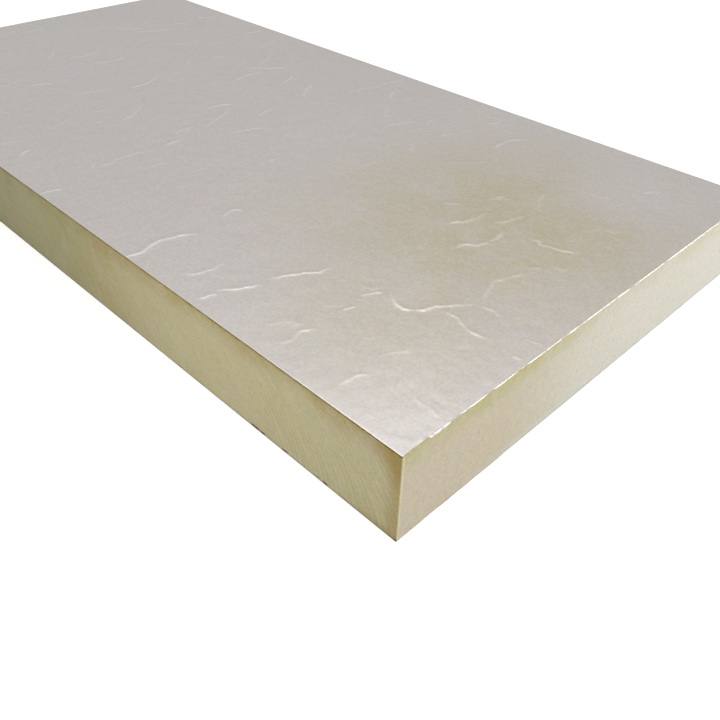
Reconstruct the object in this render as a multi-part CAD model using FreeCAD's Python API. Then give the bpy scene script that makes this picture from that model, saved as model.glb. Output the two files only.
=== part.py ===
"""Rigid foam insulation board: a slab of pale yellow polyisocyanurate foam between two foil facers.

The origin is the middle of the underside. +X runs along the long side, +Y along the short side and +Z up.
All sizes are in millimetres.

The board comes off a continuous line that is as wide as the board is long. The two short sides are the
line's own edges. There each facer rolls over the foam's rounded edge and ends in a short lip that lies on
the side of the foam. The two long sides are sawn across the line, so there the foam and both facers are
cut flush in one plane.
"""

import FreeCAD
import Part
import math
import os
from FreeCAD import Vector

board_length = 1200.0  # along X, over the facer lips
board_width = 600.0  # along Y, between the sawn faces
board_thickness = 100.0  # along Z, over both facers
facer_thickness = 0.2  # foil and kraft laminate
roll_radius = 2.0  # outside of the facer where it rolls over a short side's edge
lip_drop = 0.5  # straight run of the lip below the roll, down the side of the foam

half_length = board_length / 2
foam_radius = roll_radius - facer_thickness  # the foam's own edge, under the facer
foam_half_length = half_length - facer_thickness
foam_bottom = facer_thickness
foam_top = board_thickness - facer_thickness
sawn_face_y = -board_width / 2


def point(x, z):
    """A corner of the board's cross-section, in the plane of the front sawn face."""
    return Vector(x, sawn_face_y, z)


def line(start, end):
    return Part.LineSegment(start, end).toShape()


def quarter_round(centre_x, centre_z, radius, side, start_degrees, end_degrees):
    """A quarter circle, from start to end. Side is 1 at the right end of the section and -1 at the left."""

    def on_circle(degrees):
        turn = math.radians(degrees)
        return point(centre_x + side * radius * math.cos(turn), centre_z + radius * math.sin(turn))

    middle_degrees = (start_degrees + end_degrees) / 2
    return Part.Arc(on_circle(start_degrees), on_circle(middle_degrees), on_circle(end_degrees)).toShape()


def between_sawn_faces(edges):
    """The closed section extruded from one sawn face to the other."""
    section = Part.Face(Part.Wire(Part.__sortEdges__(edges)))
    return section.extrude(Vector(0, board_width, 0))


def make_foam_core():
    """The foam slab, square at the sawn faces and rounded along both short sides."""
    straight_half = foam_half_length - foam_radius
    lower_round_z = foam_bottom + foam_radius
    upper_round_z = foam_top - foam_radius
    edges = [
        line(point(-straight_half, foam_bottom), point(straight_half, foam_bottom)),
        line(point(-straight_half, foam_top), point(straight_half, foam_top)),
    ]
    for side in (-1, 1):
        edges += [
            line(point(side * foam_half_length, lower_round_z), point(side * foam_half_length, upper_round_z)),
            quarter_round(side * straight_half, lower_round_z, foam_radius, side, -90, 0),
            quarter_round(side * straight_half, upper_round_z, foam_radius, side, 0, 90),
        ]
    return between_sawn_faces(edges)


def make_top_facer():
    """The facer on the top: flat over the foam, rolled over both short sides, with a lip down each."""
    roll_x = half_length - roll_radius
    roll_z = board_thickness - roll_radius
    lip_end_z = roll_z - lip_drop
    edges = [
        line(point(-roll_x, board_thickness), point(roll_x, board_thickness)),
        line(point(-roll_x, foam_top), point(roll_x, foam_top)),
    ]
    for side in (-1, 1):
        outer_x = side * half_length
        inner_x = side * foam_half_length
        edges += [
            quarter_round(side * roll_x, roll_z, roll_radius, side, 90, 0),
            line(point(outer_x, roll_z), point(outer_x, lip_end_z)),
            line(point(outer_x, lip_end_z), point(inner_x, lip_end_z)),
            line(point(inner_x, lip_end_z), point(inner_x, roll_z)),
            quarter_round(side * roll_x, roll_z, foam_radius, side, 0, 90),
        ]
    return between_sawn_faces(edges)


def make_bottom_facer():
    """The same facer on the underside, mirrored about the board's middle plane."""
    return make_top_facer().mirror(Vector(0, 0, board_thickness / 2), Vector(0, 0, 1))


pieces = {
    "foam_core": make_foam_core(),
    "top_facer": make_top_facer(),
    "bottom_facer": make_bottom_facer(),
}

os.makedirs("parts", exist_ok=True)
for name, piece in pieces.items():
    piece.exportStep("parts/" + name + ".step")
    print(name, "volume", round(piece.Volume / 1000, 1), "cm3, valid", piece.isValid())
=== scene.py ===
import math
import random
from functools import reduce

import bpy
import numpy as np
from mathutils import Matrix, Vector
from mathutils.geometry import delaunay_2d_cdt


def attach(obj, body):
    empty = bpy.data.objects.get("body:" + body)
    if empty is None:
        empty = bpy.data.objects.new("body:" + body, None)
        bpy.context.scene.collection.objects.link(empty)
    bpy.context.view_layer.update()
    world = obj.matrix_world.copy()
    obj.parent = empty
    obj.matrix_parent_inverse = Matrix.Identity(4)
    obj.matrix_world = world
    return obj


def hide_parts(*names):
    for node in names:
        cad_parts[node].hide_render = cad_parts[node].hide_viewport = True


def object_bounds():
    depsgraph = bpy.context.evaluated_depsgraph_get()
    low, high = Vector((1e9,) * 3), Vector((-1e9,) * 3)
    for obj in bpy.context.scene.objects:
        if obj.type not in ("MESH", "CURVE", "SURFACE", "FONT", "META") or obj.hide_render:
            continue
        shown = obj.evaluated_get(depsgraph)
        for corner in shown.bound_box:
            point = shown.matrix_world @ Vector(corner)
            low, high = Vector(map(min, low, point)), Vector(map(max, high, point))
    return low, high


mm = 0.001
hair = 1e-9  # places nearer to each other than this are the same

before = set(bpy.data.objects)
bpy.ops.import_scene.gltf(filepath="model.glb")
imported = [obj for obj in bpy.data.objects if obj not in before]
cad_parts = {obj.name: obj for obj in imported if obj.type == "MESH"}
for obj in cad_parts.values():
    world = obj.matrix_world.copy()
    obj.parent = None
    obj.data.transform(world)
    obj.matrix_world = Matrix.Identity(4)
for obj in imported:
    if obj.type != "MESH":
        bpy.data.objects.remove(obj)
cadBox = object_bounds()
boardTop = cadBox[1].z
halfLength = cadBox[1].x  # out to the lips of the facers
halfWidth = cadBox[1].y  # out to a sawn face
print("frame loaded, half length", round(halfLength, 4), "half width", round(halfWidth, 4))


# small tools


def put(tree, kind, sockets=None, **settings):
    # one node, its options, and its inputs by name or number, linked or set
    node = tree.nodes.new(kind)
    for name, value in settings.items():
        setattr(node, name, value)
    for key, value in (sockets or {}).items():
        if isinstance(value, bpy.types.NodeSocket):
            tree.links.new(value, node.inputs[key])
        else:
            node.inputs[key].default_value = value
    return node


def treeOf(values):
    # the tree that the first socket among the values belongs to
    return next(value.id_data for value in values if isinstance(value, bpy.types.NodeSocket))


def calc(operation, *values, clamp=False):
    # maths on sockets and numbers
    node = put(treeOf(values), "ShaderNodeMath", dict(enumerate(values)), operation=operation)
    node.use_clamp = clamp
    return node.outputs[0]


def times(*values):
    return reduce(lambda one, other: calc("MULTIPLY", one, other), values)


def plus(*values, clamp=False):
    return reduce(lambda one, other: calc("ADD", one, other, clamp=clamp), values)


def minus(first, second):
    return calc("SUBTRACT", first, second)


def timesPlus(first, second, third, clamp=False):
    return calc("MULTIPLY_ADD", first, second, third, clamp=clamp)


def larger(first, second, clamp=False):
    return calc("MAXIMUM", first, second, clamp=clamp)


def apart(first, second):
    return calc("ABSOLUTE", minus(first, second))


def vectorCalc(operation, *values):
    node = put(treeOf(values), "ShaderNodeVectorMath", dict(enumerate(values)), operation=operation)
    return node.outputs["Value" if operation in ("DOT_PRODUCT", "LENGTH") else "Vector"]


def moved(place, offset):
    return vectorCalc("ADD", place, offset)


def distanceTo(place, spot):
    return vectorCalc("LENGTH", vectorCalc("SUBTRACT", place, spot))


def parts(place):
    # a place's three coordinates
    return put(place.id_data, "ShaderNodeSeparateXYZ", {0: place}).outputs


def joined(x, y, z):
    return put(treeOf([x, y, z]), "ShaderNodeCombineXYZ", {0: x, 1: y, 2: z}).outputs[0]


def fade(value, start, end, low=0.0, high=1.0):
    # low at start, high at end, a smooth step between
    sockets = {"Value": value, "From Min": start, "From Max": end, "To Min": low, "To Max": high}
    node = put(value.id_data, "ShaderNodeMapRange", sockets, interpolation_type="SMOOTHSTEP")
    return node.outputs["Result"]


def noise(place, scale, detail=2.0, roughness=0.5):
    sockets = {"Vector": place, "Scale": scale, "Detail": detail, "Roughness": roughness}
    return put(place.id_data, "ShaderNodeTexNoise", sockets).outputs[0]


def blendColour(share, first, second, kind="MIX"):
    first, second = ((*c, 1.0) if isinstance(c, tuple) else c for c in (first, second))
    sockets = {0: share, 6: first, 7: second}
    node = put(treeOf([share, first, second]), "ShaderNodeMix", sockets, data_type="RGBA", blend_type=kind)
    return node.outputs[2]


def washed(colour, look, **shares):
    # thin colours of one look laid over each other, in the order given
    for name, share in shares.items():
        colour = blendColour(share, colour, look[name])
    return colour


def shaded(colour, strength):
    # darker or lighter by a factor
    grey = put(strength.id_data, "ShaderNodeCombineColor", {i: strength for i in range(3)}).outputs[0]
    return blendColour(1.0, colour, grey, "MULTIPLY")


def bumped(*layers):
    # a surface's relief in layers of height and depth, coarse to fine
    normal = {}
    for height, depth in layers:
        sockets = {"Height": height, "Distance": depth, **normal}
        normal = {"Normal": put(height.id_data, "ShaderNodeBump", sockets).outputs[0]}
    return normal["Normal"]


def newMaterial(name):
    material = bpy.data.materials.new(name)
    material.use_nodes = True
    return material, material.node_tree, material.node_tree.nodes["Principled BSDF"].inputs


def attributeOf(tree, name):
    return put(tree, "ShaderNodeAttribute", attribute_name=name).outputs["Fac"]


def newTree(name, values):
    # a Geometry Nodes tree with a named input for each value
    tree = bpy.data.node_groups.new(name, "GeometryNodeTree")
    tree.interface.new_socket("Geometry", in_out="INPUT", socket_type="NodeSocketGeometry")
    for label, value in values.items():
        kind = "Float" if isinstance(value, float) else type(value).__name__
        tree.interface.new_socket(label, in_out="INPUT", socket_type="NodeSocket" + kind)
    tree.interface.new_socket("Geometry", in_out="OUTPUT", socket_type="NodeSocketGeometry")
    return tree, put(tree, "NodeGroupInput").outputs


def namedAttribute(tree, name, kind="FLOAT"):
    return put(tree, "GeometryNodeInputNamedAttribute", {"Name": name}, data_type=kind).outputs[0]


def stored(shape, **values):
    # keeps each value on the shape's points, under its name
    for name, value in values.items():
        sockets = {"Geometry": shape, "Name": name, "Value": value}
        settings = dict(data_type="FLOAT", domain="POINT")
        shape = put(shape.id_data, "GeometryNodeStoreNamedAttribute", sockets, **settings).outputs[0]
    return shape


def endTree(tree, shape, material, **moves):
    # moves the shape's points and hands it over as plain geometry with its material
    for kind, sockets in (
        ("GeometryNodeSetPosition", moves),
        ("GeometryNodeRealizeInstances", {}),
        ("GeometryNodeSetMaterial", {"Material": material}),
    ):
        shape = put(tree, kind, {"Geometry": shape, **sockets}).outputs[0]
    put(tree, "NodeGroupOutput", {0: shape})
    return tree


def runTree(piece, tree, values):
    # the tree's result becomes the piece's own plain mesh
    modifier = piece.modifiers.new(tree.name, "NODES")
    modifier.node_group = tree
    for item in tree.interface.items_tree:
        if item.in_out == "INPUT" and item.name in values:
            modifier[item.identifier] = values[item.name]
    bpy.context.view_layer.update()
    shaped = piece.evaluated_get(bpy.context.evaluated_depsgraph_get())
    mesh = bpy.data.meshes.new_from_object(shaped)
    piece.modifiers.clear()
    piece.data = mesh


def newPiece(name, points, faces, edges=()):
    mesh = bpy.data.meshes.new(name)
    mesh.from_pydata(np.asarray(points, float).tolist(), list(edges), list(faces))
    piece = bpy.data.objects.new(name, mesh)
    bpy.context.scene.collection.objects.link(piece)
    return piece


def writeAttribute(mesh, name, values, kind="FLOAT"):
    attribute = mesh.attributes.new(name, kind, "POINT")
    field = "value" if kind == "FLOAT" else "vector"
    attribute.data.foreach_set(field, np.asarray(values, np.float32).ravel())


def readAttribute(mesh, name):
    values = np.empty(len(mesh.vertices), np.float32)
    mesh.attributes[name].data.foreach_get("value", values)
    return values


def rebuilt(piece, name, points, faces, carried):
    # a new piece in place of the old one, whose attributes its first points keep
    finished = newPiece(name, points, faces)
    for key, values in carried.items():
        writeAttribute(finished.data, key, np.pad(values, (0, len(points) - len(values))))
    bpy.data.objects.remove(piece)
    return finished


def pointsOf(mesh):
    points = np.empty(len(mesh.vertices) * 3)
    mesh.vertices.foreach_get("co", points)
    return points.reshape(-1, 3)


def triangulate(flat):
    # Delaunay triangles of points in a plane, counterclockwise; in millimetres, which suits its tolerance
    result = delaunay_2d_cdt([Vector(point) for point in (flat / mm).tolist()], [], [], 0, 1e-4)
    faces = np.array(result[2])
    corners = np.array([tuple(point) for point in result[0]])[faces]
    first = corners[:, 1] - corners[:, 0]
    second = corners[:, 2] - corners[:, 0]
    turn = first[:, 0] * second[:, 1] - first[:, 1] * second[:, 0]
    faces[turn < 0] = faces[turn < 0][:, ::-1]
    return faces


# camera, lamps, floor

cameraView = dict(place=(0.8415, -0.5928, 0.4962), azimuth=44.47, elevation=39.13, roll=1.4, lens=37.71)


def makeCamera(view):
    azimuth = math.radians(view["azimuth"])
    elevation = math.radians(view["elevation"])
    level = math.cos(elevation)
    back = Vector((math.sin(azimuth) * level, -math.cos(azimuth) * level, math.sin(elevation)))
    right = Vector((0, 0, 1)).cross(back).normalized()
    right.rotate(Matrix.Rotation(math.radians(view["roll"]), 3, back))
    up = back.cross(right)
    camera = bpy.data.objects.new("camera", bpy.data.cameras.new("camera"))
    camera.data.lens = view["lens"]
    camera.data.sensor_width = 36
    camera.data.clip_start = 0.01
    turned = Matrix((right, up, back)).transposed().to_4x4()
    camera.matrix_world = Matrix.Translation(view["place"]) @ turned
    bpy.context.scene.collection.objects.link(camera)
    bpy.context.scene.camera = camera


lamps = {
    "overheadSoftbox": dict(place=(-0.14, 0.39, 2.5), aim=(0.35, -0.1, 0.1), size=(1.6, 1.6), watts=8.9),
    "rightStrip": dict(place=(2.4, 1.36, 0.40), aim=(0.6, 0.1, 0.1), size=(2.4, 0.66), watts=29),
    "frontFill": dict(place=(0.40, -0.66, 0.05), aim=(0.38, -0.3, 0.04), size=(0.45, 0.09), watts=0.44),
}
sky = dict(
    overhead=(0.78, 0.78, 0.78),
    brightHorizon=(0.48, 0.48, 0.48),
    dimHorizon=(0.20, 0.20, 0.20),
    dimInFoil=(0.52, 0.52, 0.52),  # the dim side as the foil mirrors it
    brightSide=(0.2, 0.98, 0),
    brightRise=(-0.05, 0.95),  # heights between which the sky goes from horizon to overhead
    dimRise=(0.45, 1.0),
    turn=(-0.9, 0.1),  # from the dim side to the bright one
)
floorLook = dict(size=14.0, colour=(0.60, 0.60, 0.60), roughness=0.9, whiteness=0.72)


def makeLamps():
    for name, lamp in lamps.items():
        data = bpy.data.lights.new(name, "AREA")
        data.shape = "RECTANGLE"
        data.size, data.size_y = lamp["size"]
        data.energy = lamp["watts"]
        holder = bpy.data.objects.new(name, data)
        holder.location = lamp["place"]
        direction = Vector(lamp["aim"]) - Vector(lamp["place"])
        holder.rotation_euler = direction.to_track_quat("-Z", "Y").to_euler()
        holder.visible_camera = False
        bpy.context.scene.collection.objects.link(holder)


def makeSky():
    world = bpy.data.worlds.new("studio")
    bpy.context.scene.world = world
    world.use_nodes = True
    tree = world.node_tree
    direction = put(tree, "ShaderNodeTexCoord").outputs["Generated"]
    height = parts(direction)[2]
    side = vectorCalc("DOT_PRODUCT", direction, sky["brightSide"])
    rays = put(tree, "ShaderNodeLightPath").outputs
    glossy = rays["Is Glossy Ray"]
    bright = blendColour(fade(height, *sky["brightRise"]), sky["brightHorizon"], sky["overhead"])
    dim = blendColour(glossy, sky["dimHorizon"], sky["dimInFoil"])
    dim = blendColour(fade(height, *sky["dimRise"]), dim, sky["overhead"])
    colour = blendColour(fade(side, *sky["turn"]), dim, bright)
    # white to the camera, and below the horizon to the foil too, as the floor is
    below = times(glossy, calc("LESS_THAN", height, 0.0))
    seen = larger(rays["Is Camera Ray"], rays["Is Transmission Ray"])
    colour = blendColour(larger(seen, below), colour, (1.0, 1.0, 1.0))
    tree.links.new(colour, tree.nodes["Background"].inputs["Color"])


def makeFloor():
    side = floorLook["size"] / 2
    corners = [(-side, -side, 0), (side, -side, 0), (side, side, 0), (-side, side, 0)]
    floor = newPiece("floor", corners, [(0, 1, 2, 3)])
    material, tree, surface = newMaterial("paleFloor")
    surface["Base Color"].default_value = (*floorLook["colour"], 1)
    surface["Roughness"].default_value = floorLook["roughness"]
    surface["Emission Color"].default_value = (1, 1, 1, 1)
    rays = put(tree, "ShaderNodeLightPath").outputs
    seen = larger(rays["Is Camera Ray"], rays["Is Glossy Ray"])
    seen = larger(seen, rays["Is Transmission Ray"])
    tree.links.new(times(seen, floorLook["whiteness"]), surface["Emission Strength"])
    floor.data.materials.append(material)


bpy.context.scene.view_settings.view_transform = "Standard"
makeCamera(cameraView)
makeLamps()
makeSky()
makeFloor()
print("camera, lamps and floor made")


# finishes

foilLook = dict(
    bright=(0.79, 0.745, 0.73),
    warm=(0.68, 0.61, 0.41),
    cool=(0.69, 0.71, 0.72),
    pinkish=(0.78, 0.70, 0.70),
    greenish=(0.70, 0.72, 0.66),
    dusty=(0.66, 0.62, 0.60),
    rubbed=(0.94, 0.91, 0.86),  # on the crests of the creases: partly rubbed wear, partly painted highlight
    scuffed=(0.52, 0.46, 0.45),  # in places along the rolled edge
    warmPlaces=(  # centre, reach, least and most warmth of a painted warm, darker reflection
        ((0.43, 0.04, 0.1), 0.33, 0.08, 0.95),
        ((0.50, -0.21, 0.1), 0.15, 0.0, 0.30),
    ),
    # where a painted highlight pales the foil and takes away its warmth
    palePlace=(0.50, 0.19, 0.1),
    dullPlace=-0.24,  # along a rolled edge, where the lip is scuffed
    speck=(0.95, 1.05),
    gloss=(0.31, 0.38),  # roughness, from the smoothest patches to the dullest
    quiltDepth=0.26 * mm,
    grainDepth=0.02 * mm,
)
foamLook = dict(
    sawn=(0.66, 0.60, 0.37),
    sawnYellow=(0.56, 0.46, 0.225),
    sawnOchre=(0.47, 0.345, 0.115),
    sawnTan=(0.66, 0.57, 0.385),
    sawnGreen=(0.55, 0.54, 0.29),  # towards the far half, darker: partly the foam's tone, partly painted shade where the light falls off
    lineEdge=(0.67, 0.59, 0.455),
    lineEdgePale=(0.74, 0.71, 0.62),
    lineEdgeYellow=(0.60, 0.55, 0.30),
    lineEdgeLow=(0.72, 0.71, 0.66),  # just above the underside: painted light from the floor
    edgeLine=(0.76, 0.71, 0.46),  # a painted highlight down a vertical edge
    greenTint=(0.93, 1.0, 0.86),
    tanTint=(1.0, 0.955, 0.93),
    # the colour of painted shade in tears, chips, pores and pits
    torn=(0.10, 0.08, 0.035),
    roughness=0.92,
    specular=0.2,
    streakDepth=0.05 * mm,
    sandDepth=0.12 * mm,
    poreDepth=0.2 * mm,
)
sawMarks = dict(radius=170 * mm, centreHeight=-43 * mm, pitch=7 * mm)


def makeFoil(look):
    material, tree, surface = newMaterial("satinFoil")
    place = put(tree, "ShaderNodeTexCoord").outputs["Object"]
    fold = attributeOf(tree, "fold")
    rolled = attributeOf(tree, "rolled")
    # colour: broad warm and cool clouds that are painted reflection, a faint mottle, and creases lighter on
    # their crests, partly rubbed wear and partly painted highlight
    clouds = noise(place, 15.0, 4.0, 0.6)
    mottle = noise(place, 85.0, 3.0, 0.6)
    tint = noise(moved(place, (3.0, 1.0, 0.0)), 95.0, 2.0, 0.6)
    flush = noise(moved(place, (5.0, 2.0, 0.0)), 12.0, 3.0, 0.55)
    # warm, darker clouds and places: painted reflection of dimmer, warmer surroundings
    warmth = timesPlus(noise(place, 3.4, 3.0, 0.55), 0.5, -0.42)
    for spot, reach, least, most in look["warmPlaces"]:
        warmth = plus(warmth, fade(distanceTo(place, spot), reach, 0.0, least, most))
    warmth = timesPlus(clouds, 0.34, warmth, clamp=True)
    # painted highlight: the foil paler round the pale place
    warmth = times(warmth, fade(distanceTo(place, look["palePlace"]), 0.10, 0.02, 1.0, 0.35))
    colour = blendColour(warmth, look["bright"], look["warm"])
    # cool clouds: painted reflection of paler surroundings
    cool = fade(clouds, 0.45, 0.75, 0.0, 0.25)
    pinkish = fade(flush, 0.48, 0.70, 0.0, 0.35)
    dusty = fade(mottle, 0.35, 0.65, 0.0, 0.24)
    colour = washed(colour, look, cool=cool, pinkish=pinkish, dusty=dusty)
    pinkish = fade(tint, 0.50, 0.66, 0.0, 0.34)
    greenish = fade(tint, 0.50, 0.34, 0.0, 0.32)
    colour = washed(colour, look, pinkish=pinkish, greenish=greenish)
    colour = shaded(colour, fade(noise(place, 330.0, 2.0, 0.6), 0.3, 0.7, *look["speck"]))
    scuffed = fade(noise(place, 70.0, 3.0, 0.65), 0.50, 0.70)
    toDull = apart(parts(place)[1], look["dullPlace"])
    scuffed = times(larger(scuffed, fade(toDull, 10 * mm, 4 * mm)), rolled)
    # crests lighter: partly rubbed wear, partly painted highlight
    colour = washed(colour, look, rubbed=times(fold, 0.75), scuffed=scuffed)
    tree.links.new(colour, surface["Base Color"])
    surface["Metallic"].default_value = 1.0
    # gloss: duller where the clouds are, on the roll and in the scuffs
    patch = timesPlus(mottle, 0.4, times(clouds, 0.6))
    gloss = fade(patch, 0.38, 0.62, *look["gloss"])
    for pattern, change in ((fold, -0.05), (rolled, 0.07), (scuffed, 0.4)):
        gloss = timesPlus(pattern, change, gloss)
    tree.links.new(gloss, surface["Roughness"])
    # surface: the foil's soft quilting over the foam, then its fine rolled grain
    quilt = noise(place, 75.0, 2.0, 0.45)
    grain = noise(place, 900.0, 2.0, 0.5)
    normal = bumped((quilt, look["quiltDepth"]), (grain, look["grainDepth"]))
    tree.links.new(normal, surface["Normal"])
    return material


def sawPhase(place, radius, centreHeight, pitch):
    # how far along the board the blade stood when it cut this point, counted in teeth marks
    along, across, height = parts(place)
    rise = minus(height, centreHeight)
    reach = calc("SQRT", times(minus(radius, rise), plus(rise, radius)))
    return calc("DIVIDE", minus(along, reach), pitch)


def openPores(place, scale, rim, rarity):
    # round holes in a few cells of the foam
    tree = place.id_data
    cells = put(tree, "ShaderNodeTexVoronoi", {"Vector": place, "Scale": scale, "Randomness": 1.0}).outputs
    rare = put(tree, "ShaderNodeSeparateColor", {0: cells["Color"]}).outputs[0]
    return times(fade(cells["Distance"], *rim), calc("GREATER_THAN", rare, rarity))


def makeFoam(look):
    material, tree, surface = newMaterial("rigidFoam")
    place = put(tree, "ShaderNodeTexCoord").outputs["Object"]
    sawn = attributeOf(tree, "sawn")
    torn = attributeOf(tree, "torn")
    along, across, height = parts(place)
    toEnd = minus(halfLength, calc("ABSOLUTE", along))
    toSawn = minus(halfWidth, calc("ABSOLUTE", across))
    toTop = minus(boardTop, height)
    # denser, yellower foam: a band under the top facer, the skin at the ends of a cut, its upper corners
    clouds = noise(place, 17.0, 4.0, 0.6)
    spots = noise(place, 42.0, 3.0, 0.6)
    band = fade(timesPlus(clouds, 20 * mm, height), boardTop - 18 * mm, boardTop + 6 * mm)
    skin = fade(toEnd, 22 * mm, 2 * mm)
    toCorner = timesPlus(clouds, -30 * mm, plus(toEnd, toTop))
    nearCorner = fade(minus(along, across), 0.1, 0.8, 0.35, 1.0)
    ochre = times(fade(toCorner, 40 * mm, 4 * mm, 0.0, 0.95), nearCorner)
    highStrip = timesPlus(spots, -16 * mm, toTop)
    ochre = larger(ochre, fade(highStrip, 1 * mm, -7 * mm, 0.0, 0.42))
    lowStrip = plus(times(toEnd, 0.12), timesPlus(spots, -12 * mm, height))
    ochre = larger(ochre, fade(lowStrip, 7 * mm, -3 * mm, 0.0, 0.6))
    yellow = timesPlus(band, 0.75, timesPlus(clouds, 0.9, -0.36))
    # yellower and darker along the far part of the long side: partly the foam's tone, partly painted shade
    # where the light falls off
    yellow = plus(yellow, times(fade(along, 0.28, 0.14, 0.0, 0.5), fade(along, -0.02, 0.08)))
    yellow = plus(yellow, larger(skin, fade(toCorner, 42 * mm, 2 * mm)), clamp=True)
    # greener and darker towards the far half, partly painted shade where the light falls off
    green = fade(along, 0.20, 0.06, 0.0, 0.5)
    tan = fade(noise(moved(place, (2.0, 0.0, 0.0)), 38.0, 3.0, 0.6), 0.48, 0.66, 0.0, 0.6)
    sawnColour = blendColour(yellow, look["sawn"], look["sawnYellow"])
    sawnColour = washed(sawnColour, look, sawnGreen=green, sawnTan=tan, sawnOchre=ochre)
    # the faces along the line: paler in broad drifts, with yellow blotches high up
    drift = fade(timesPlus(noise(place, 6.0), 0.2, across), -0.12, 0.14)
    blotch = times(fade(noise(place, 30.0, 3.0, 0.6), 0.40, 0.62), band)
    blotch = timesPlus(band, 0.4, times(blotch, 0.75), clamp=True)
    blotch = times(blotch, fade(drift, 0.1, 0.9, 1.0, 0.3))
    # paler and greyer just above the underside: painted light from the floor
    low = times(fade(height, 16 * mm, 2 * mm, 0.0, 0.7), fade(across, -0.25, -0.1))
    edgeColour = blendColour(drift, look["lineEdge"], look["lineEdgePale"])
    edgeColour = washed(edgeColour, look, lineEdgeYellow=blotch, lineEdgeLow=low)
    # a painted highlight down each vertical edge
    edgeColour = washed(edgeColour, look, edgeLine=fade(toSawn, 4.0 * mm, 1.8 * mm))
    colour = blendColour(sawn, edgeColour, sawnColour)
    tint = noise(moved(place, (0.0, 4.0, 1.0)), 120.0, 2.0, 0.6)
    for name, full in (("greenTint", 0.64), ("tanTint", 0.36)):
        colour = blendColour(fade(tint, 0.50, full, 0.0, 0.6), colour, look[name], "MULTIPLY")
    # saw streaks a blade's step apart, and the sandy grain of cut cells
    phase = timesPlus(noise(place, 18.0, 1.0), 1.6, sawPhase(place, **sawMarks))
    arc = calc("SINE", times(phase, 2 * math.pi))
    scratch = noise(joined(phase, 0.0, times(height, 7.0)), 2.6, 3.0, 0.6)
    scratch = fade(scratch, 0.3, 0.7, -1.0, 1.0)
    clear = larger(fade(along, 0.34, 0.46), fade(noise(place, 9.0), 0.45, 0.65, 0.2, 0.8))
    streak = times(timesPlus(arc, 0.5, times(scratch, 0.8)), clear, sawn)
    sand = noise(place, 520.0, 2.0, 0.6)
    # lighter and darker along the saw streaks: partly the cut's own marks, partly painted shade of their
    # relief
    shade = timesPlus(streak, 0.07, fade(sand, 0.25, 0.75, 0.93, 1.07))
    shade = times(shade, fade(noise(place, 150.0, 2.0, 0.6), 0.3, 0.7, 0.97, 1.03))
    colour = shaded(colour, shade)
    # open pores and pits, and the shadowed tears under the facers, darkened with painted shade
    pore = openPores(place, 420.0, (0.24, 0.10), 0.88)
    pit = openPores(place, 75.0, (0.075, 0.04), 0.72)
    for dark, share in ((pore, 0.35), (pit, 0.5), (torn, 0.85)):
        colour = washed(colour, look, torn=times(dark, share))
    tree.links.new(colour, surface["Base Color"])
    surface["Roughness"].default_value = look["roughness"]
    surface["Specular IOR Level"].default_value = look["specular"]
    normal = bumped(
        (streak, look["streakDepth"]),
        (sand, look["sandDepth"]),
        (larger(pore, pit), -look["poreDepth"]),
    )
    tree.links.new(normal, surface["Normal"])
    return material


foil = makeFoil(foilLook)
foam = makeFoam(foamLook)
print("finishes made")


# creases of the facers

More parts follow.
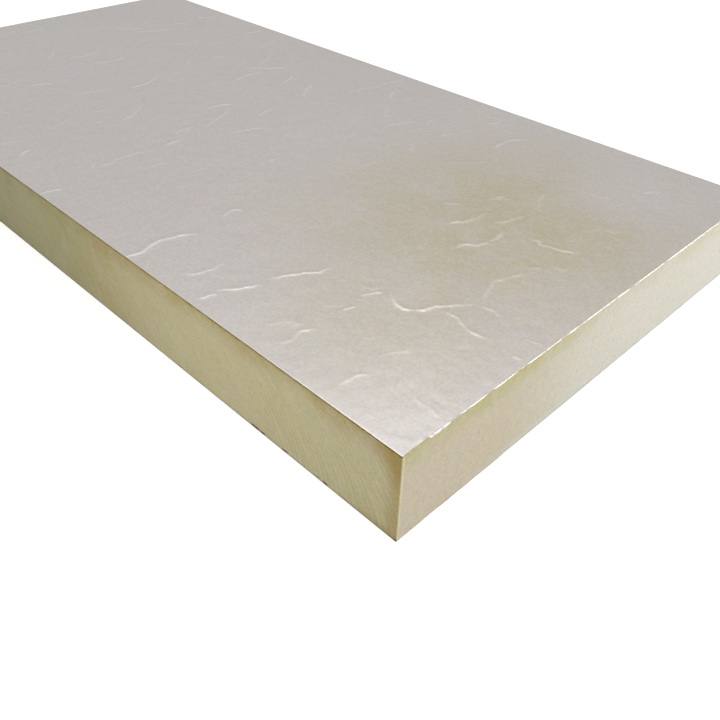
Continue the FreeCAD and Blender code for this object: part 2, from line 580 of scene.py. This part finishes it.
# ridge height and half width, then points along the long side and across from the near corner, all in mm
topCreases = [
    (0.62, 3.6, [(375, 1), (373, 12), (374, 22), (379, 34), (379, 43), (376, 56), (373, 66), (367, 80)]),
    (0.48, 3.2, [(557, 1), (557, 15), (551, 27)]),
    (0.34, 3.0, [(266, 10), (264, 18), (261, 27)]),
    (0.58, 3.4, [(266, 30), (261, 38), (255, 46), (249, 58), (247, 68)]),
    (0.36, 3.0, [(312, 22), (304, 31), (300, 42), (299, 52), (299, 64)]),
    (0.30, 3.2, [(98, 229), (95, 240), (91, 250), (84, 269)]),
    (0.28, 2.8, [(235, 318), (229, 326), (220, 332)]),
    (0.24, 2.8, [(90, 275), (85, 282), (79, 287)]),
    (0.30, 3.0, [(208, 360), (201, 372), (192, 380), (188, 390)]),
    (0.20, 3.0, [(74, 298), (66, 299), (59, 303)]),
    (0.30, 2.8, [(162, 345), (157, 353), (154, 364)]),
    (0.32, 2.8, [(181, 316), (187, 325), (188, 340)]),
    (0.15, 3.2, [(194, 30), (188, 38), (183, 46), (171, 55)]),
    (0.14, 3.4, [(186, 136), (172, 137), (165, 144), (163, 154)]),
    (0.15, 3.0, [(181, 86), (174, 92), (166, 101)]),
    (-0.20, 4.4, [(57, 124), (50, 130), (42, 136)]),
    (0.55, 3.2, [(249, 79), (240, 96), (234, 108), (225, 121), (222, 137)]),
    (0.43, 3.0, [(167, 123), (163, 135), (157, 142)]),
    (0.34, 2.5, [(162, 94), (159, 108)]),
    (
        0.55,
        3.2,
        [(157, 150), (144, 142), (136, 137), (123, 138), (114, 146), (107, 162), (94, 179), (84, 194)],
    ),
    (0.38, 3.0, [(98, 162), (82, 161), (69, 156), (63, 154), (44, 157)]),
    (0.29, 2.6, [(80, 192), (67, 194), (57, 190)]),
    (0.53, 3.2, [(123, 325), (111, 329), (107, 325), (94, 329), (80, 333), (69, 344)]),
    (0.55, 3.4, [(163, 254), (161, 267), (150, 277), (147, 290)]),
    (0.43, 3.0, [(148, 292), (146, 304), (150, 317), (153, 321)]),
    (0.48, 3.2, [(202, 283), (199, 294), (192, 304), (188, 317), (184, 327)]),
    (0.34, 2.5, [(187, 310), (180, 321)]),
    (0.43, 3.0, [(167, 327), (163, 335), (159, 344), (157, 360)]),
    (0.34, 2.8, [(205, 367), (202, 377), (194, 385)]),
    (0.24, 3.0, [(173, 429), (169, 421), (165, 406), (157, 396), (155, 383)]),
    (0.19, 2.5, [(88, 384), (80, 403)]),
    (0.19, 2.5, [(75, 410), (71, 402), (63, 408)]),
    (0.34, 3.0, [(94, 510), (88, 521), (80, 531)]),
    (0.29, 3.0, [(136, 467), (123, 465), (113, 473)]),
    (0.34, 3.0, [(100, 234), (94, 225), (86, 204)]),
    (0.31, 3.0, [(163, 21), (161, 33), (164, 46), (161, 54), (157, 58)]),
    (0.26, 3.0, [(90, 19), (89, 33), (86, 44), (80, 48)]),
    (0.17, 2.8, [(80, 96), (88, 83), (94, 71)]),
    (0.12, 2.8, [(121, 79), (111, 87)]),
    (0.19, 2.8, [(177, 46), (169, 56)]),
    (0.19, 2.5, [(22, 181), (6, 184)]),
    (0.19, 2.5, [(16, 153), (7, 156)]),
    (0.43, 3.2, [(376, 120), (382, 134), (374, 147)]),
    (0.20, 2.8, [(44, 56), (31, 53), (17, 53), (9, 51)]),
    (-0.18, 3.8, [(31, 67), (20, 63), (12, 64)]),
]
scatter = dict(
    count=78,
    along=(25, 1175),  # where a crease may start, in millimetres from the near corner
    across=(12, 588),
    length=(18, 75),
    height=(0.16, 0.54),
    halfWidth=(2.3, 3.3),
    heading=(55, 125),  # degrees from the long side
    bend=0.45,  # radians, at most, from one stretch to the next
    stretch=14,
    apart=38,
    seed=5,
)
bottomScatter = dict(scatter, count=60, height=(0.04, 0.11), seed=23)


def smoothLine(points, step):
    # a Catmull-Rom line through the points, resampled at about one step
    points = np.array(points, float)
    padded = np.vstack([2 * points[0] - points[1], points, 2 * points[-1] - points[-2]])
    line = []
    for i in range(1, len(padded) - 2):
        a, b, c, d = padded[i - 1 : i + 3]
        count = max(2, round(np.linalg.norm(c - b) / step))
        for t in np.arange(count) / count:
            bend = (2 * a - 5 * b + 4 * c - d) * t**2 + (3 * b - a - 3 * c + d) * t**3
            line.append(0.5 * (2 * b + (c - a) * t + bend))
    line.append(points[-1])
    return np.array(line)


def wavering(line, dice, amount):
    # nudges a line sideways by a slow random wave, so that no crease is a clean curve
    along = np.arange(len(line))
    wave = np.zeros(len(line))
    for length, share in ((14.0, 1.0), (7.0, 0.5), (3.6, 0.35)):
        wave += share * np.sin(along * 2 * math.pi / (length + dice.uniform(-1, 1)) + dice.uniform(0, 6.3))
    tangent = np.gradient(line, axis=0)
    tangent /= np.linalg.norm(tangent, axis=1)[:, None] + 1e-9
    across = np.stack([-tangent[:, 1], tangent[:, 0]], 1)
    return line + across * (wave * amount)[:, None], across


def insideSeenArea(point):
    # the part of the top where every crease is listed, from the near corner, in millimetres
    along, across = point
    return along / 640 + across / 640 < 0.98 or along < 130 and across < 560


def scatteredCreases(rule):
    dice = random.Random(rule["seed"])
    made = []
    while len(made) < rule["count"]:
        start = np.array([dice.uniform(*rule["along"]), dice.uniform(*rule["across"])])
        heading = math.radians(dice.uniform(*rule["heading"]))
        length = dice.uniform(*rule["length"])
        count = max(3, round(length / rule["stretch"]))
        step = length / (count - 1)
        points = [start]
        for i in range(count - 1):
            heading += dice.uniform(-rule["bend"], rule["bend"])
            points.append(points[-1] + step * np.array([math.cos(heading), math.sin(heading)]))
        ends = (points[0], points[-1])
        if any(insideSeenArea(p) or not (15 < p[0] < 1185 and 8 < p[1] < 592) for p in ends):
            continue
        middles = [np.mean(other[2], axis=0) for other in made]
        if any(np.linalg.norm(np.mean(points, axis=0) - m) < rule["apart"] for m in middles):
            continue
        made.append((dice.uniform(*rule["height"]), dice.uniform(*rule["halfWidth"]), points))
    return made


def makeCreaseLines(name, creases, seed):
    # thin lines in the flat facer that carry each crease's height, width and sideways direction
    dice = random.Random(seed)
    lines = []
    for height, ridgeReach, points in creases:  # a hollow has a height below zero
        line, across = wavering(smoothLine(points, 1.5), dice, 0.5)
        along = np.linspace(0, 1, len(line))
        taper = np.clip(np.minimum(along, 1 - along) * 5, 0, 1) ** 0.7
        if points[0][1] <= 2:
            taper[along < 0.5] = 1.0  # starts at the sawn edge at full height
        ragged = np.array([dice.uniform(0.35, 1.25) for i in line])
        ragged = np.minimum(np.convolve(np.pad(ragged, 2, mode="edge"), np.ones(5) / 5, "valid"), 1.0)
        flat = np.stack([halfLength - line[:, 0] * mm, line[:, 1] * mm - halfWidth], 1)
        side = np.stack([-across[:, 0], across[:, 1]], 1)
        side *= 1 if side.mean(0) @ (1, -1) > 0 else -1  # the gentle flank faces the near corner
        width = ridgeReach * mm * (0.8 + 0.2 * ragged)
        lines.append((flat, side, height * mm * taper * ragged, width))
    points = np.vstack([line[0] for line in lines])
    edges = []
    start = 0
    for line in lines:
        edges += [(start + i, start + i + 1) for i in range(len(line[0]) - 1)]
        start += len(line[0])
    holder = newPiece(name, np.pad(points, ((0, 0), (0, 1))), [], edges)
    writeAttribute(holder.data, "ridgeHeight", np.concatenate([line[2] for line in lines]))
    writeAttribute(holder.data, "ridgeWidth", np.concatenate([line[3] for line in lines]))
    sides = np.vstack([line[1] for line in lines])
    writeAttribute(holder.data, "across", np.pad(sides, ((0, 0), (0, 1))), "FLOAT_VECTOR")
    return holder, [(line[0], line[1]) for line in lines]


# facers: a flat pattern, then creased and rolled over the short edges

topFacer = dict(
    name="topFoil",
    thickness=0.2 * mm,
    flatBelowTop=0.76 * mm,  # room for the highest crease inside the board's height
    inset=0.28 * mm,  # of the lip's outside from the board's end
    rollRadius=1.5 * mm,
    lipDrop=1.3 * mm,  # where nothing has worn it away
    wornLength=30 * mm,  # of the lip, from the near corner
    undulation=0.30 * mm,
    ripple=0.38 * mm,
    burr=0.16 * mm,  # bent down along the sawn edges
    spacing=5.3 * mm,  # of the mesh's points on the flat, near the rolls and along them
    endSpacing=3.0 * mm,
    rowStep=1.6 * mm,
    edgeRows=((0.5, 1), (1.1, 1), (2.4, 2), (5.0, 2)),  # mm from a sawn edge, and every how many points
    creaseRows=(0, 0.5, -0.5, 1.05, -1.05, 1.7, -1.7, 2.5, -2.5, 3.5, 5.0, -4.2),  # mm beside a crease
    creaseGap=0.38 * mm,
    innerSpacing=40 * mm,  # of the plain inner skin's points
    innerDrop=0.25 * mm,  # of that skin, clear of the hollows
    seed=3.0,
)
bottomFacer = dict(
    topFacer,
    name="bottomFoil",
    flatBelowTop=0.15 * mm,
    inset=0.12 * mm,
    rollRadius=1.0 * mm,
    lipDrop=0.8 * mm,
    undulation=0.05 * mm,
    ripple=0.05 * mm,
    burr=0.15 * mm,
    spacing=9.0 * mm,
    endSpacing=5.0 * mm,
    rowStep=2.4 * mm,
    seed=11.0,
)


def flatHalfLength(sizes):
    return halfLength - sizes["inset"] - sizes["rollRadius"]


def thinOut(kept, grid, candidates, gap):
    # keeps the candidates that leave a gap to every point so far
    for x, y in candidates:
        column, row = math.floor(x / gap), math.floor(y / gap)
        near = (q for i in (-1, 0, 1) for j in (-1, 0, 1) for q in grid.get((column + i, row + j), ()))
        if all((x - q[0]) ** 2 + (y - q[1]) ** 2 > gap * gap for q in near):
            kept.append((x, y))
            grid.setdefault((column, row), []).append((x, y))


def gridOf(points, gap):
    grid = {}
    for point in points:
        grid.setdefault((math.floor(point[0] / gap), math.floor(point[1] / gap)), []).append(point)
    return grid


def honeycomb(lowX, highX, lowY, highY, step):
    points = []
    rows = int((highY - lowY) / (step * 0.866))
    for row in range(rows + 1):
        y = lowY + (highY - lowY) * row / rows
        shift = step / 2 if row % 2 else 0.0
        count = int((highX - lowX) / step)
        places = [lowX + shift + step * i for i in range(count + 1)]
        points += [(x, y) for x in places if x <= highX]
    return points


def flatPattern(sheet, creaseLines):
    # points of the unrolled facer: its border in order, then the rows that the shape needs, then a honeycomb
    flatHalf = flatHalfLength(sheet)
    quarter = sheet["rollRadius"] * math.pi / 2
    overhang = [quarter * k / 6 for k in range(7)] + [quarter + sheet["lipDrop"] * k / 3 for k in (1, 2, 3)]
    end = flatHalf + overhang[-1]
    lengthwise = [-flatHalf - over for over in overhang[::-1]]
    lengthwise += list(np.linspace(-flatHalf, flatHalf, int(2 * flatHalf / (2.2 * mm)))[1:-1])
    lengthwise += [flatHalf + over for over in overhang]
    crosswise = list(np.linspace(-halfWidth, halfWidth, int(2 * halfWidth / sheet["rowStep"])))
    border = [(s, -halfWidth) for s in lengthwise]
    border += [(end, y) for y in crosswise[1:-1]]
    border += [(s, halfWidth) for s in lengthwise[::-1]]
    border += [(-end, y) for y in crosswise[1:-1][::-1]]
    fixed = list(border)
    for side in (-1, 1):
        for over in overhang[:-1]:
            fixed += [(side * (flatHalf + over), y) for y in crosswise[1:-1]]
    inside = [s for s in lengthwise if abs(s) < flatHalf - 1 * mm]
    for depth, share in sheet["edgeRows"]:
        for side in (-1, 1):
            fixed += [(s, side * (halfWidth - depth * mm)) for s in inside[::share]]
    kept = list(fixed)
    gap = sheet["creaseGap"]
    grid = gridOf(kept, gap)
    for line, across in creaseLines:
        for offset in sheet["creaseRows"]:
            row = [p for p in line + across * offset * mm if abs(p[1]) < halfWidth - 0.4 * mm]
            row = [tuple(p) for p in row if abs(p[0]) < flatHalf - 0.5 * mm]
            thinOut(kept, grid, row, gap)
    gap = 0.5 * sheet["endSpacing"]
    grid = gridOf(kept, gap)
    farY = halfWidth - 7 * mm
    for side in (-1, 1):
        low, high = sorted((side * (flatHalf - 55 * mm), side * (flatHalf - 1.6 * mm)))
        thinOut(kept, grid, honeycomb(low, high, -farY, farY, sheet["endSpacing"]), gap)
    gap = 0.55 * sheet["spacing"]
    grid = gridOf(kept, gap)
    farX, farY = flatHalf - 8 * mm, halfWidth - 9 * mm
    thinOut(kept, grid, honeycomb(-farX, farX, -farY, farY, sheet["spacing"]), gap)
    return np.array(kept), len(border), len(fixed)


def rollAndCreaseTree(values):
    tree, given = newTree("roll and crease", values)
    position = put(tree, "GeometryNodeInputPosition").outputs[0]
    along, across = parts(position)[:2]
    place = moved(position, joined(0.0, 0.0, given["Seed"]))
    reach = calc("ABSOLUTE", along)
    toSawn = minus(given["Half Width"], calc("ABSOLUTE", across))
    toRoll = minus(given["Flat Half Length"], reach)

    # creases: a pinched ridge with a shallow trough beside it, steeper on one side
    lines = put(tree, "GeometryNodeObjectInfo", {"Object": given["Crease Lines"]}).outputs["Geometry"]
    swirl = {"Vector": place, "Scale": 95.0, "Detail": 2.0}
    swirl = put(tree, "ShaderNodeTexNoise", swirl).outputs["Color"]
    swirl = vectorCalc("SUBTRACT", swirl, (0.5, 0.5, 0.5))
    flatPlace = moved(position, vectorCalc("MULTIPLY", swirl, (0.4 * mm, 0.4 * mm, 0.0)))
    sockets = {0: lines, "Sample Position": flatPlace}
    distance = put(tree, "GeometryNodeProximity", sockets, target_element="EDGES").outputs["Distance"]
    sockets = {"Geometry": lines, "Sample Position": flatPlace}
    nearest = put(tree, "GeometryNodeSampleNearest", sockets).outputs["Index"]

    def atCrease(value, kind):
        # what the nearest point of a crease line carries
        sockets = {"Geometry": lines, "Value": value, "Index": nearest}
        return put(tree, "GeometryNodeSampleIndex", sockets, data_type=kind).outputs[0]

    away = vectorCalc("SUBTRACT", flatPlace, atCrease(position, "FLOAT_VECTOR"))
    sideways = atCrease(namedAttribute(tree, "across", "FLOAT_VECTOR"), "FLOAT_VECTOR")
    lean = calc("SIGN", vectorCalc("DOT_PRODUCT", away, sideways))
    width = atCrease(namedAttribute(tree, "ridgeWidth"), "FLOAT")
    steps = calc("DIVIDE", distance, times(width, timesPlus(lean, -0.12, 1.08)))
    steps = calc("SQRT", timesPlus(steps, steps, 0.06))
    ridge = calc("POWER", larger(minus(1.15, steps), 0.0), 1.6)
    beside = minus(1.0, times(apart(steps, 1.55), 1.8))
    trough = times(larger(beside, 0.0), -0.10)
    ridgeHeight = atCrease(namedAttribute(tree, "ridgeHeight"), "FLOAT")
    creased = times(plus(ridge, trough), ridgeHeight)
    fold = calc("MULTIPLY", ridge, calc("DIVIDE", ridgeHeight, 0.5 * mm), clamp=True)

    # the slow waves of foil over foam, which die out towards the sawn edges
    wave = minus(noise(place, 7.0), 0.5)
    dimple = minus(noise(place, 34.0), 0.5)
    crumple = fade(apart(noise(place, 24.0, 1.0, 0.4), 0.5), 0.10, 0.0)
    waves = timesPlus(crumple, 0.3, timesPlus(dimple, 0.9, wave))
    waves = times(waves, fade(toSawn, 0.5 * mm, 14 * mm), given["Undulation"])

    # small ripples square to the roll, strongest at it
    rowPlace = joined(times(along, 0.25), across, given["Seed"])
    nearness = plus(fade(toRoll, 45 * mm, 6 * mm, 0.0, 0.3), fade(toRoll, 7 * mm, 0.0, 0.0, 0.7))
    ripple = times(minus(noise(rowPlace, 95.0), 0.5), nearness, given["Ripple"])
    burr = times(fade(toSawn, 0.7 * mm, 0.0), given["Burr"])
    relief = plus(creased, waves, minus(ripple, burr))

    # how much of the lip is left: worn away at the near corner, longest just past it, shorter further on
    fromNear = plus(across, given["Half Width"])
    worn = given["Worn Length"]

    def pastWorn(step, low, high):
        # low along the worn stretch, high past a short step
        return fade(fromNear, worn, plus(worn, step), low, high)

    nearEnd = calc("GREATER_THAN", along, 0.0)
    nearShare = times(pastWorn(0.8 * mm, 0.10, 1.0), fade(fromNear, 34 * mm, 80 * mm, 1.0, 0.50))
    sockets = {0: nearEnd, 2: 0.60, 3: nearShare}
    share = put(tree, "ShaderNodeMix", sockets, data_type="FLOAT").outputs[0]
    rag = minus(noise(rowPlace, 48.0, 3.0, 0.6), 0.5)
    share = plus(times(rag, pastWorn(2 * mm, 0.0, 0.85)), share, clamp=True)
    over = times(larger(minus(reach, given["Flat Half Length"]), 0.0), share)

    # bending: along the flat, round the roll, which is tighter in some places, and down the lip
    largest = given["Roll Radius"]
    tight = fade(noise(moved(rowPlace, (0.0, 5.0, 0.0)), 42.0), 0.36, 0.60, 0.9, 0.6)
    tight = larger(tight, fade(fromNear, 70 * mm, 45 * mm))
    radius = times(largest, times(tight, pastWorn(0.8 * mm, 0.45, 1.0)))
    angle = calc("MINIMUM", calc("DIVIDE", over, largest), math.pi / 2)
    run = larger(minus(over, times(largest, math.pi / 2)), 0.0)
    sine = calc("SINE", angle)
    cosine = calc("COSINE", angle)
    stretch = times(minus(largest, radius), fade(over, 0.0, 0.3 * mm))
    flat = calc("MINIMUM", reach, given["Flat Half Length"])
    down = plus(times(radius, minus(1.0, cosine)), run)
    kept = times(relief, timesPlus(sine, -0.7, 1.0))
    out = timesPlus(kept, sine, timesPlus(radius, sine, plus(flat, stretch)))
    high = minus(timesPlus(kept, cosine, given["Flat Height"]), down)
    placed = joined(times(out, calc("SIGN", along)), across, high)

    shape = stored(given["Geometry"], fold=fold, rolled=sine)
    return endTree(tree, shape, given["Material"], Position=placed)


def closedSheet(piece, sheet, flat, faces, borderCount, structure):
    # gives the facer its thickness: a plainer inner skin that shares the border, and a rim between the two
    outer = pointsOf(piece.data)
    normals = np.empty(outer.size)
    piece.data.vertices.foreach_get("normal", normals)
    normals = normals.reshape(-1, 3)
    carried = {name: readAttribute(piece.data, name) for name in ("fold", "rolled")}
    flatHalf = flatHalfLength(sheet)
    chosen = [i for i in range(structure) if i < borderCount or abs(flat[i, 0]) >= flatHalf - hair]
    innerRow = halfWidth - sheet["edgeRows"][-1][0] * mm
    ring = [i for i in range(structure) if abs(abs(flat[i, 1]) - innerRow) < hair]
    chosen += ring[::3]
    wide = sheet["innerSpacing"]
    taken = set()
    for i in range(structure, len(flat)):
        cell = (math.floor(flat[i, 0] / wide), math.floor(flat[i, 1] / wide))
        clear = abs(flat[i, 0]) < flatHalf - 8 * mm and abs(flat[i, 1]) < halfWidth - 12 * mm
        if clear and cell not in taken:
            taken.add(cell)
            chosen.append(i)
    chosen = np.array(chosen)
    inner = outer[chosen] - normals[chosen] * sheet["thickness"]
    inner[:, 1] = np.clip(inner[:, 1], -halfWidth, halfWidth)
    deep = (np.abs(flat[chosen, 1]) < halfWidth - 4 * mm) & (np.abs(flat[chosen, 0]) < flatHalf - 4 * mm)
    inner[deep, 2] = boardTop - sheet["flatBelowTop"] - sheet["thickness"] - sheet["innerDrop"]
    innerFaces = triangulate(flat[chosen])[:, ::-1] + len(outer)
    following = (np.arange(borderCount) + 1) % borderCount
    ahead = np.arange(borderCount)
    rim = np.stack([ahead, ahead + len(outer), following + len(outer), following], 1)
    allFaces = faces.tolist() + innerFaces.tolist() + rim.tolist()
    return rebuilt(piece, sheet["name"], np.vstack([outer, inner]), allFaces, carried)


def finishPiece(piece, material, sharp=55):
    mesh = piece.data
    mesh.materials.clear()
    mesh.materials.append(material)
    mesh.shade_smooth()
    mesh.set_sharp_from_angle(angle=math.radians(sharp))
    mesh.validate()


def makeFacer(sheet, creases):
    lines, rows = makeCreaseLines(sheet["name"] + "Lines", creases, int(sheet["seed"]))
    flat, borderCount, structure = flatPattern(sheet, rows)
    faces = triangulate(flat)
    piece = newPiece(sheet["name"] + "Flat", np.pad(flat, ((0, 0), (0, 1))), faces.tolist())
    values = {
        "Crease Lines": lines,
        "Flat Half Length": flatHalfLength(sheet),
        "Half Width": halfWidth,
        "Flat Height": boardTop - sheet["flatBelowTop"],
        "Roll Radius": sheet["rollRadius"],
        "Worn Length": sheet["wornLength"],
        "Undulation": sheet["undulation"],
        "Ripple": sheet["ripple"],
        "Burr": sheet["burr"],
        "Seed": sheet["seed"],
        "Material": foil,
    }
    runTree(piece, rollAndCreaseTree(values), values)
    piece = closedSheet(piece, sheet, flat, faces, borderCount, structure)
    bpy.data.objects.remove(lines)
    finishPiece(piece, foil)
    print(sheet["name"], "made,", len(piece.data.polygons), "faces")
    return piece


def turnOver(piece):
    # the same facer on the underside
    mesh = piece.data
    points = pointsOf(mesh)
    points[:, 2] = boardTop - points[:, 2]
    mesh.vertices.foreach_set("co", points.ravel())
    mesh.flip_normals()
    mesh.update()


topFoil = makeFacer(topFacer, topCreases + scatteredCreases(scatter))
bottomFoil = makeFacer(bottomFacer, scatteredCreases(bottomScatter))
turnOver(bottomFoil)


# foam slab

slab = dict(
    topGap=0.98 * mm,  # of the foam's top below the board's top, under the facer
    bottomGap=0.37 * mm,
    sideInset=0.42 * mm,
    sawnInset=0.22 * mm,
    cornerRadius=0.9 * mm,
    edgeRadius=(0.75 * mm, 1.2 * mm),  # along the line's own edges, below and above
    sawnStep=1.6 * mm,
    sideStep=5.0 * mm,
    rowStep=3.6 * mm,
    sawDepth=0.09 * mm,
    wander=0.15 * mm,
    grit=0.07 * mm,
    tearDepth=0.9 * mm,
    chipDepth=1.1 * mm,
    chippedPlace=0.462,  # along the long side, where the lower edge took a knock
    capInset=12 * mm,  # of the points that hold down the hidden faces under the facers
    capPoints=(40, 20),
    capDrop=(0.3 * mm, 0.4 * mm),  # how deep they lie, below and above
    seed=7.0,
)


def slabPlan(shape):
    # places round the slab seen from above, counterclockwise, with the outward direction at each
    x = halfLength - shape["sideInset"]
    y = halfWidth - shape["sawnInset"]
    r = shape["cornerRadius"]
    plan = []
    alongX = np.linspace(-x + r, x - r, int(2 * (x - r) / shape["sawnStep"]))
    alongY = np.linspace(-y + r, y - r, int(2 * (y - r) / shape["sideStep"]))
    turns = [(x - r, -y + r, -90), (x - r, y - r, 0), (-x + r, y - r, 90), (-x + r, -y + r, 180)]
    runs = [
        [(px, -y, 0, -1) for px in alongX],
        [(x, py, 1, 0) for py in alongY],
        [(px, y, 0, 1) for px in alongX[::-1]],
        [(-x, py, -1, 0) for py in alongY[::-1]],
    ]
    for run, (cx, cy, first) in zip(runs, turns):
        plan += run
        for k in range(1, 5):
            angle = math.radians(first + 18 * k)
            outX, outY = math.cos(angle), math.sin(angle)
            plan.append((cx + r * outX, cy + r * outY, outX, outY))
    return np.array(plan)


def slabRows(shape):
    # (height, turn of the edge in degrees: -90 at the underside, 0 on the side, 90 on the top)
    low, high = shape["bottomGap"], boardTop - shape["topGap"]
    near = [0.65, 0.95, 1.25, 1.6, 2.1, 2.8, 3.8, 5.2, 7.2]
    count = int((high - low - 2 * 10 * mm) / shape["rowStep"])
    middle = np.linspace(low + 10 * mm, high - 10 * mm, count)
    rows = [(low, -90), (low, -60), (low, -30), (low, 0)]
    rows += [(low + gap * mm, None) for gap in near]
    rows += [(z, None) for z in middle]
    rows += [(high - gap * mm, None) for gap in near[::-1]]
    rows += [(high, 0), (high, 30), (high, 60), (high, 90)]
    return rows


def slabBand(shape):
    plan = slabPlan(shape)
    low, high = shape["bottomGap"], boardTop - shape["topGap"]
    points, outward, sawn = [], [], []
    side = np.abs(plan[:, 2])
    for z, turn in slabRows(shape):
        rounding = 0.25 * mm + (shape["edgeRadius"][z > boardTop / 2] - 0.25 * mm) * side
        angle = math.radians(turn or 0)
        level = z
        if turn is not None:
            middle = low + rounding if z == low else high - rounding
            level = middle + rounding * math.sin(angle)
        back = rounding * (1 - math.cos(angle)) if turn is not None else 0.0
        x = plan[:, 0] - plan[:, 2] * back
        y = plan[:, 1] - plan[:, 3] * back
        points.append(np.stack([x, y, np.zeros(len(plan)) + level], 1))
        outward.append(np.stack([plan[:, 2], plan[:, 3], np.zeros(len(plan))], 1) * math.cos(angle))
        sawn.append(1 - side)
    columns, rows = len(plan), len(points)
    ahead = np.arange(columns)
    following = (ahead + 1) % columns
    faces = []
    for row in range(rows - 1):
        base, above = row * columns, (row + 1) * columns
        faces += np.stack([base + ahead, base + following, above + following, above + ahead], 1).tolist()
    piece = newPiece("foamBand", np.vstack(points), faces)
    writeAttribute(piece.data, "outward", np.vstack(outward), "FLOAT_VECTOR")
    writeAttribute(piece.data, "sawn", np.concatenate(sawn))
    return piece, columns, rows


def sawAndTearTree(values):
    tree, given = newTree("saw and tear", values)
    position = put(tree, "GeometryNodeInputPosition").outputs[0]
    along, across, height = parts(position)
    place = moved(position, joined(given["Seed"], 0.0, 0.0))
    sawn = namedAttribute(tree, "sawn")
    outward = namedAttribute(tree, "outward", "FLOAT_VECTOR")

    # the blade's arcs across the sawn faces, clear in places and gone in others
    phase = sawPhase(position, given["Saw Radius"], given["Saw Centre Height"], given["Saw Pitch"])
    phase = timesPlus(noise(place, 18.0, 1.0), 1.6, phase)
    clear = larger(fade(noise(place, 9.0), 0.35, 0.60, 0.15, 1.0), fade(along, 0.36, 0.46))
    arc = times(calc("SINE", times(phase, 2 * math.pi)), clear, given["Saw Depth"], sawn)

    # slow wander and the grit of open cells
    wander = times(minus(noise(place, 22.0), 0.62), given["Wander"])
    grit = times(minus(noise(place, 300.0, 2.0, 0.6), 0.62), given["Grit"])

    # foam torn out just under each facer, and chips along the lower sawn edge
    ragged = noise(place, 120.0, 3.0, 0.6)
    below = timesPlus(ragged, -2.8 * mm, minus(given["Board Top"], height))
    tear = larger(fade(below, 2.0 * mm, 1.2 * mm), fade(height, 1.5 * mm, 0.9 * mm, 0.0, 0.4))
    tear = times(tear, sawn)
    zone = fade(apart(along, given["Chipped Place"]), 60 * mm, 40 * mm)
    zone = times(zone, calc("LESS_THAN", across, 0.0))
    chipped = fade(timesPlus(zone, 0.13, noise(place, 105.0, 3.0, 0.65)), 0.60, 0.66)
    chipped = times(chipped, fade(height, 3.4 * mm, 1.2 * mm), sawn)
    loss = timesPlus(chipped, given["Chip Depth"], times(tear, given["Tear Depth"]))

    outwards = minus(plus(arc, plus(wander, grit)), loss)
    sockets = {0: outward, "Scale": outwards}
    offset = put(tree, "ShaderNodeVectorMath", sockets, operation="SCALE").outputs[0]
    # the torn and chipped places, which the foam's finish darkens with painted shade
    shape = stored(given["Geometry"], torn=larger(tear, chipped, clamp=True))
    return endTree(tree, shape, given["Material"], Offset=offset)


def capSlab(piece, shape, columns, rows):
    # closes the band above and below, a little deeper inside, where the facers hide it
    mesh = piece.data
    points = pointsOf(mesh)
    carried = {name: readAttribute(mesh, name) for name in ("sawn", "torn")}
    faces = [tuple(face.vertices) for face in mesh.polygons]
    x = halfLength - shape["sideInset"] - shape["capInset"]
    y = halfWidth - shape["sawnInset"] - shape["capInset"]
    countX, countY = shape["capPoints"]
    acrossCap = np.linspace(-y, y, countY)
    inside = np.array([(px, py) for px in np.linspace(-x, x, countX) for py in acrossCap])
    dropBelow, dropAbove = shape["capDrop"]
    total = len(points)
    sections = [points]
    caps = (
        ((rows - 1) * columns, boardTop - shape["topGap"] - dropAbove, False),
        (0, shape["bottomGap"] + dropBelow, True),
    )
    for start, level, flip in caps:
        ring = np.arange(start, start + columns)
        cap = triangulate(np.vstack([points[ring, :2], inside]))
        number = np.concatenate([ring, total + np.arange(len(inside))])
        cap = number[cap][:, ::-1] if flip else number[cap]
        faces += cap.tolist()
        sections.append(np.column_stack([inside, np.full(len(inside), level)]))
        total += len(inside)
    return rebuilt(piece, "foamSlab", np.vstack(sections), faces, carried)


def makeSlab(shape):
    piece, columns, rows = slabBand(shape)
    values = {
        "Board Top": boardTop,
        "Saw Radius": sawMarks["radius"],
        "Saw Centre Height": sawMarks["centreHeight"],
        "Saw Pitch": sawMarks["pitch"],
        "Saw Depth": shape["sawDepth"],
        "Wander": shape["wander"],
        "Grit": shape["grit"],
        "Tear Depth": shape["tearDepth"],
        "Chip Depth": shape["chipDepth"],
        "Chipped Place": shape["chippedPlace"],
        "Seed": shape["seed"],
        "Material": foam,
    }
    runTree(piece, sawAndTearTree(values), values)
    piece = capSlab(piece, shape, columns, rows)
    finishPiece(piece, foam)
    print("foamSlab made,", len(piece.data.polygons), "faces")
    return piece


foamSlab = makeSlab(slab)


# hand over

for piece, node, slotName in (
    (topFoil, "top_facer", "foil_facer"),
    (bottomFoil, "bottom_facer", "foil_facer"),
    (foamSlab, "foam_core", "foam"),
):
    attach(piece, "root")
    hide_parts(node)
